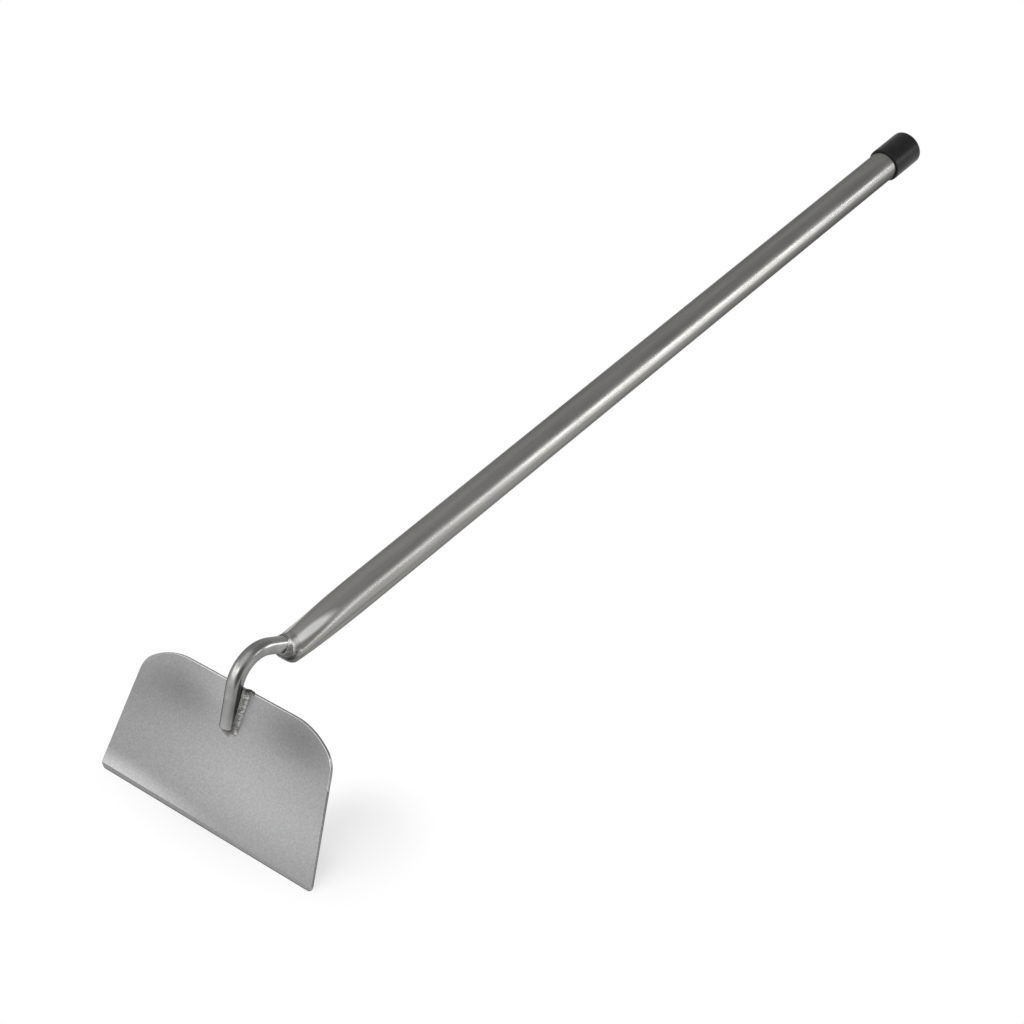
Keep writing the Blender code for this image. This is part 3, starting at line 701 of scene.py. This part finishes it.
# %% Its thickness, ground edge and broken rim
made = bmesh.ops.extrude_face_region(bm, geom=bm.faces[:])["geom"]
back = [item for item in made if isinstance(item, bmesh.types.BMVert)]
bmesh.ops.translate(bm, vec=(0, 0, -BLADE_THICKNESS), verts=back)
bmesh.ops.recalc_face_normals(bm, faces=bm.faces)
bmesh.ops.bisect_plane(bm, geom=bm.verts[:] + bm.edges[:] + bm.faces[:], dist=ON_PLANE, clear_outer=True,
                       plane_co=(0, BLADE_HEIGHT - GRIND_WIDTH, 0), plane_no=(0, GRIND_DEPTH, GRIND_WIDTH))
bmesh.ops.holes_fill(bm, edges=[edge for edge in bm.edges if edge.is_boundary], sides=0)
bmesh.ops.recalc_face_normals(bm, faces=bm.faces)
sharp = [edge for edge in bm.edges if edge.calc_face_angle(0.0) > math.radians(25)]
bmesh.ops.bevel(bm, geom=sharp, offset=RIM, offset_type="OFFSET", segments=4, profile=0.5, affect="EDGES",
                material=-1)
finish_piece("ground_blade", bm, stand, grained_plate, "blade", flat_over=0.00002)

# %% [markdown]
# ## Beads of weld
#
# The torch leaves a row of overlapping half-moons, each pushed against the last. A bead's section runs from
# the bar's side over a hollow face to the plate. The half-moons come from a saw-toothed swell whose phase
# lags towards the bead's two rims, and a little noise keeps any two of them from being alike.

# %% The half-moons
PITCH = 0.0017  # from one half-moon to the next
BOW, WANDER = 0.9, 0.35  # how far a half-moon is bent and how far it strays, in pitches
RIM_SWELL = 0.25  # what is left of the swell at a bead's rims
WANDER_PACE, TOE_PACE, RISE_PACE = 260, 500, 400  # waves of unevenness per metre
BAR_CLEAR = BAR_RADIUS + SEAT


def uneven(size, *place):
    """A smooth random shift of up to size, always the same for the same place."""
    return size * noise.noise(Vector(place))


def half_moons(along, over, height):
    """Swell of the bead's face at a distance along it, with over from 0 at one rim to 1 at the other."""
    bow = 1 - (2 * over - 1) ** 2
    phase = (along / PITCH + BOW * bow + uneven(WANDER, along * WANDER_PACE, over * 2, 3.1)) % 1.0
    return height * (phase ** 0.6) * (RIM_SWELL + (1 - RIM_SWELL) * bow)


def bar_height(down):
    """Of the bar's axis over the plate, at a distance down from its top edge."""
    return EDGE_HEIGHT - down * math.tan(LEAN)


# %% A bead's section
CREST_STEPS, FACE_STEPS = 6, 22
BEAD_SIDES = CREST_STEPS + FACE_STEPS + 3
HOLLOW = 0.0007  # of the bead's face


def bead_point(corner, height, toe, rise, along, swell):
    """(outwards from the bar's axis, over the plate) of one corner of the section.

    Corners run up the bar's side to the crest, down the hollow face to the foot and back under the bar.
    """
    tall = BAR_CLEAR / math.cos(LEAN)
    low = math.asin(max((SEAT - height) / tall, -0.9))
    high = math.asin((rise - height) / tall)
    if corner <= CREST_STEPS:
        angle = low + (high - low) * (corner + 1) / (CREST_STEPS + 1)
        return BAR_CLEAR * math.cos(angle), height + tall * math.sin(angle)
    crest = Vector((BAR_CLEAR * math.cos(high), height + tall * math.sin(high)))
    foot = Vector((BAR_CLEAR + toe, SEAT))
    if corner <= CREST_STEPS + FACE_STEPS:
        over = (corner - CREST_STEPS) / (FACE_STEPS + 1)
        normal = Vector((crest.y - foot.y, foot.x - crest.x)).normalized()
        point = crest + (foot - crest) * over
        point += normal * (half_moons(along, over, swell) - HOLLOW * math.sin(math.pi * over))
        return point.x, max(point.y, SEAT)
    if corner == CREST_STEPS + FACE_STEPS + 1:
        return foot.x, foot.y
    angle = low + (high - low) / (CREST_STEPS + 1)
    return BAR_CLEAR * math.cos(angle), SEAT


# %% The two side beads
BEAD_STATIONS = 190
BEAD_START, BEAD_LENGTH = 0.0008, BAR_ON_PLATE - 0.0008
UPPER_TOE, LOWER_TOE = 0.0038, 0.0020  # how far a bead reaches beyond the bar, at its top and at its foot
SIDE_RISE, SIDE_SWELL = 0.0044, 0.00035  # of its crest over the plate, and of its half-moons
UNEVEN_TOE, UNEVEN_RISE = 0.0003, 0.0002


def side_bead_point(side, station, corner):
    """side is 1 to the left of the bar and -1 to its right."""
    t = station / (BEAD_STATIONS - 1)
    down = BEAD_START + BEAD_LENGTH * t
    toe = UPPER_TOE + (LOWER_TOE - UPPER_TOE) * t + uneven(UNEVEN_TOE, down * TOE_PACE, side * 7, 0)
    rise = SIDE_RISE + uneven(UNEVEN_RISE, down * RISE_PACE, side * 3, 5)
    end = min(1.0, 0.25 + 9 * t) ** 0.5  # the bead starts narrow and is at its full width soon
    left_to_run = BEAD_LENGTH - BEAD_LENGTH * t
    outwards, over = bead_point(corner, bar_height(down), toe * end, rise, left_to_run, SIDE_SWELL)
    return Vector((side * outwards, down, over))


for name, side, node in (("left_bead", 1.0, "left_blade_weld"), ("right_bead", -1.0, "right_blade_weld")):
    bm = skin(BEAD_STATIONS, BEAD_SIDES, lambda station, corner: side_bead_point(side, station, corner))
    finish_piece(name, close(bm), stand, weld_metal, node)

# %% [markdown]
# The two beads are joined by a third that runs half round the bar's blunt end. It has the same section, but
# is swept through half a turn. Its middle is drawn in, because the end is not as deep as the bar's radius.

# %% The bead round the bar's end
TOE_STATIONS = 120
TOE_RISE, TOE_SWELL = 0.0040, 0.0003
TOE_BULGE = 0.0025  # what the bead's reach gains in the middle of its turn


def toe_bead_point(station, corner):
    turn = math.pi * station / (TOE_STATIONS - 1)
    toe = LOWER_TOE + TOE_BULGE * math.sin(turn) + uneven(UNEVEN_TOE, turn * 4, 1.0, 2.0)
    height = bar_height(BAR_ON_PLATE)
    outwards, over = bead_point(corner, height, toe, TOE_RISE, turn * BAR_RADIUS, TOE_SWELL)
    beyond = (outwards - BAR_RADIUS + END_DEPTH) * math.sin(turn)
    return Vector((outwards * math.cos(turn), BAR_ON_PLATE + beyond, over))


bm = skin(TOE_STATIONS, BEAD_SIDES, toe_bead_point)
finish_piece("toe_bead", close(bm), stand, weld_metal, "toe_weld")

# %% [markdown]
# ## The lump on the plate's edge
#
# Where the right bead was started, some metal ran over the plate's top edge. It is a small squashed ball,
# roughened by noise.

# %% The lump
LUMP_SIZE, LUMP_PLACE = (0.0044, 0.0017, 0.0019), (-0.0088, 0.0006, -0.0006)
COARSE_SIZE, COARSE_PACE, FINE_SIZE, FINE_PACE = 0.0004, 700, 0.00015, 1900
bm = bmesh.new()
bmesh.ops.create_icosphere(bm, subdivisions=5, radius=1.0)
bmesh.ops.scale(bm, vec=LUMP_SIZE, verts=bm.verts)
for vert in bm.verts:
    swell = uneven(COARSE_SIZE, *(vert.co * COARSE_PACE)) + uneven(FINE_SIZE, *(vert.co * FINE_PACE))
    vert.co += vert.co.normalized() * swell
bmesh.ops.translate(bm, vec=LUMP_PLACE, verts=bm.verts)
finish_piece("edge_lump", bm, stand, weld_metal, "top_edge_weld")

# %% [markdown]
# ## The bead at the tube's mouth
#
# This bead goes right round the bar, from the bar's side down to the nose. A torus would close the joint,
# but the real bead has a hollow face with half-moons, and is thinner on top, where the tube hugs the bar.

# %% The socket bead
SOCKET_STATIONS, SOCKET_FACE = 260, 24
FOOT_REACH, CREST_REACH = 0.0024, 0.0030  # over the nose, and along the bar
LESS_ON_TOP = 0.72  # of both is missing on top
SOCKET_SWELL, SOCKET_HOLLOW = 0.0004, 0.0006
MOON_RADIUS = 0.009  # where the half-moons are their pitch apart


def socket_bead_point(station, corner):
    """Corners run down the face from the bar to the nose. The last two lie flat against the nose."""
    round_bar = 2 * math.pi * station / SOCKET_STATIONS
    spoke = Vector((0, 1, 0)) * math.cos(round_bar) + above * math.sin(round_bar)
    left = 1 - LESS_ON_TOP * max(0.0, math.sin(round_bar))
    over = min(corner / SOCKET_FACE, 1.0)
    reach = BAR_CLEAR + FOOT_REACH * left * over
    if corner > SOCKET_FACE:
        reach = BAR_CLEAR if corner == SOCKET_FACE + 2 else reach
        return mouth + spoke * reach + out * SEAT
    swell = half_moons(round_bar * MOON_RADIUS, over, SOCKET_SWELL)
    swell -= SOCKET_HOLLOW * left * math.sin(math.pi * over)
    slanting = 0.7 * swell  # the face looks out and along at once
    along = CREST_REACH * left * (1 - over)
    return mouth + spoke * (reach + slanting) + out * (along + slanting + SEAT)


bm = skin(SOCKET_STATIONS + 1, SOCKET_FACE + 3, socket_bead_point)
finish_piece("socket_bead", close(bm), lay, weld_metal, "socket_weld")

# %% [markdown]
# ## The cap
#
# A push-on cap is a turned cup. Its profile is drawn once and spun a full turn. The rim is rolled, which
# leaves the dark line against the tube, and the closed end has a rounded corner.

# %% The cap's profile
CAP_OUTER, CAP_INNER = 0.0144, TUBE_RADIUS + 2 * SEAT
CAP_FRONT, CAP_LENGTH = 0.0033, 0.0345  # what stands beyond the tube, and the whole cap
CAP_RIM = TUBE_LENGTH + CAP_FRONT - CAP_LENGTH
CAP_END = TUBE_LENGTH + CAP_FRONT - SEAT / 10  # a hair inside the measured solid
CAP_CORNER, CAP_ROLL, CAP_LIP = 0.0022, 0.0012, 0.0003


def quarter(x, r, radius, start, steps):
    """A quarter turn of the profile about (x, r), from the angle start."""
    angles = [start + math.pi / 2 * step / steps for step in range(steps + 1)]
    return [(x + radius * math.cos(angle), r + radius * math.sin(angle)) for angle in angles]


profile = [(CAP_END, 0.0)]
profile += quarter(CAP_END - CAP_CORNER, CAP_OUTER - CAP_CORNER, CAP_CORNER, 0.0, 12)
profile += quarter(CAP_RIM + CAP_ROLL, CAP_OUTER - CAP_ROLL, CAP_ROLL, math.pi / 2, 8)
profile += [(CAP_RIM, CAP_INNER + CAP_LIP), (CAP_RIM + CAP_LIP, CAP_INNER)]
profile += [(TUBE_LENGTH + 3 * SEAT, CAP_INNER), (TUBE_LENGTH + 3 * SEAT, 0.0)]
print("the cap's profile has", len(profile), "points")

# %% Turning it
bm = bmesh.new()
points = [bm.verts.new((x, 0.0, r)) for x, r in profile]
edges = [bm.edges.new(pair) for pair in zip(points, points[1:])]
bmesh.ops.spin(bm, geom=points + edges, cent=(0, 0, 0), axis=(1, 0, 0), angle=2 * math.pi, steps=128,
               use_merge=True, use_duplicate=False)
finish_piece("push_on_cap", close(bm), lay, black_cap, "end_cap")

# %% [markdown]
# ## Floor, light and camera
#
# The floor is a plain pale sheet. Lamps strong enough to make it look white would wash out the steel. So it
# glows white instead, but only for the camera and for mirrored and refracted rays: the steel gets no light
# from the glow.

# %% The floor's sheet
bm = bmesh.new()
bmesh.ops.create_grid(bm, x_segments=1, y_segments=1, size=6.0)
floor_mesh = bpy.data.meshes.new("floor")
bm.to_mesh(floor_mesh)
bm.free()
floor = bpy.data.objects.new("floor", floor_mesh)
bpy.context.scene.collection.objects.link(floor)
print("the floor is", [round(side) for side in floor.dimensions[:2]], "m wide")

# %% [markdown]
# Near the blade some of the floor's real light has to show, or the blade's shadow would be missing. Two
# masks hold the glow back there: a round one beside the blade's right corner, and a soft long one beside
# the cutting edge.

# %% What the floor shows
PALE, GLOW = (0.92, 0.92, 0.92, 1.0), (1.0, 1.0, 1.0, 1.0)
CORNER_PLACE, CORNER_NEAR, CORNER_FAR, CORNER_GLOW = (-0.380, -0.100, 0.0), 0.02, 0.062, 0.68
EDGE_PLACE, EDGE_REACH, EDGE_GLOW = (-0.420, 0.0, 0.0), (0.038, 0.150, 1.0), 0.45
pale = bpy.data.materials.new("pale_floor")
pale.use_nodes = True
tree = pale.node_tree
tree.nodes.remove(tree.nodes["Principled BSDF"])
away = tree.nodes.new("ShaderNodeVectorMath")
away.operation = "DISTANCE"
away.inputs[1].default_value = CORNER_PLACE
beside_corner = tree.nodes.new("ShaderNodeMapRange")
beside_corner.interpolation_type = "SMOOTHSTEP"
beside_corner.inputs["From Min"].default_value = CORNER_NEAR
beside_corner.inputs["From Max"].default_value = CORNER_FAR
beside_corner.inputs["To Min"].default_value = CORNER_GLOW
join(tree, (tree.nodes.new("ShaderNodeTexCoord").outputs["Object"], away.inputs[0]),
     (away.outputs["Value"], beside_corner.inputs["Value"]))
beside_edge = tree.nodes.new("ShaderNodeMath")
beside_edge.operation = "MULTIPLY"
join(tree, (beside_corner.outputs[0], beside_edge.inputs[0]))
between(tree, soft_spot(tree, Matrix(), EDGE_PLACE, EDGE_REACH), 1.0, EDGE_GLOW, beside_edge.inputs[1])

# %% Who sees it glow
rays = tree.nodes.new("ShaderNodeLightPath").outputs
seen = reckoned(tree, "ADD", rays["Is Camera Ray"], rays["Is Glossy Ray"])
seen = reckoned(tree, "ADD", seen, rays["Is Transmission Ray"])
sheet = tree.nodes.new("ShaderNodeBsdfDiffuse")
sheet.inputs["Color"].default_value = PALE
glow = tree.nodes.new("ShaderNodeEmission")
glow.inputs["Color"].default_value = GLOW
mixed = tree.nodes.new("ShaderNodeMixShader")
join(tree, (reckoned(tree, "MULTIPLY", seen, beside_edge.outputs[0]), mixed.inputs[0]),
     (sheet.outputs[0], mixed.inputs[1]), (glow.outputs[0], mixed.inputs[2]),
     (mixed.outputs[0], tree.nodes["Material Output"].inputs["Surface"]))
floor_mesh.materials.append(pale)

# %% [markdown]
# Bare steel looks like the room round it. This one is plain grey, paler in front of the blade and overhead,
# and darker in two places to the hoe's right. The round bar and tube mirror all of them side by side, and
# that is what shows that they are round. Each place is a direction with a soft rim.

# %% The room
PLAIN = (0.60, 0.60, 0.60)
# Of each place: the turn and climb of its middle, where its rim ends and starts, in degrees, and its tone.
ROOM_PLACES = ((172, 8, 75, 25, 1.20),  # in front of the blade
               (-150, 80, 40, 10, 1.10),  # overhead
               (-28, 32, 40, 5, 0.42),  # to the right, past the cap
               (-118, 20, 34, 5, 0.15))  # to the right, past the blade
world = bpy.data.worlds.new("studio")
bpy.context.scene.world = world
world.use_nodes = True
tree = world.node_tree
looking = tree.nodes.new("ShaderNodeTexCoord").outputs["Generated"]
tone = PLAIN
for turn, climb, reach, full, shade in ROOM_PLACES:
    about = Matrix.Rotation(math.radians(turn), 3, "Z")
    towards = tree.nodes.new("ShaderNodeVectorMath")
    towards.operation = "DOT_PRODUCT"
    towards.inputs[1].default_value = about @ heading(math.radians(climb))
    near = tree.nodes.new("ShaderNodeMapRange")
    near.interpolation_type = "SMOOTHSTEP"
    near.inputs["From Min"].default_value = math.cos(math.radians(reach))
    near.inputs["From Max"].default_value = math.cos(math.radians(full))
    join(tree, (looking, towards.inputs[0]), (towards.outputs["Value"], near.inputs["Value"]))
    tone = two_tones(tree, near.outputs[0], tone, (shade, shade, shade))
join(tree, (tone, tree.nodes["Background"].inputs["Color"]))
print("the room has", len(ROOM_PLACES), "places of another tone")

# %% [markdown]
# Soft light comes from five boxes. A long low one stands to the hoe's right and beyond its cap, and its
# reflection is the bright line along the tube. A small one lights the neck from the same side. The other
# three hang high in front of the blade, one straight ahead and one to either side, and give the plate its
# even tone.


# %% The lamps
def soft_box(name, place, target, length, width, power, tilt=0.0):
    """Turned towards the target, and then by tilt degrees in its own plane."""
    light = bpy.data.lights.new(name, "AREA")
    light.shape = "RECTANGLE"
    light.size, light.size_y, light.energy = length, width, power
    lamp = bpy.data.objects.new(name, light)
    lamp.location = place
    beam = Vector(target) - Vector(place)
    facing = beam.to_track_quat("-Z", "Y").to_matrix()
    lamp.rotation_euler = (facing @ Matrix.Rotation(-math.radians(tilt), 3, "Z")).to_euler()
    lamp.visible_camera = False
    bpy.context.scene.collection.objects.link(lamp)
    print(name, "is", round(beam.length, 2), "m away")


BLADE_PLACE, NECK_PLACE = (-0.38, 0.0, 0.05), (-0.33, 0.0, 0.08)
soft_box("long_box", (0.82, -0.80, 0.06), (0.82, 0.0, 0.06), 0.92, 0.27, 4.8, 12.0)
soft_box("near_box", (0.30, -1.20, 0.40), NECK_PLACE, 0.30, 0.30, 0.9)
soft_box("front_box", (-1.55, 0.10, 1.45), BLADE_PLACE, 1.2, 0.9, 4.0)
soft_box("left_box", (-1.12, 0.94, 1.14), BLADE_PLACE, 0.9, 0.6, 2.6)
soft_box("key_box", (-1.30, -0.53, 1.45), BLADE_PLACE, 0.5, 0.35, 1.6)

# %% [markdown]
# The camera stands in front of the blade and to the hoe's right, and looks down along the handle. It is
# rolled a little, so that the hoe runs from one corner of a square picture to the other.

# %% The camera
lens = bpy.data.cameras.new("camera")
lens.sensor_width = 36.0
lens.lens = 86.449
camera = bpy.data.objects.new("camera", lens)
camera.location = (-0.97169, -1.04321, 1.22735)
camera.rotation_euler = [math.radians(turn) for turn in (47.6051, 10.4613, -49.5117)]
bpy.context.scene.collection.objects.link(camera)
bpy.context.scene.camera = camera
bpy.context.scene.view_settings.view_transform = "Standard"
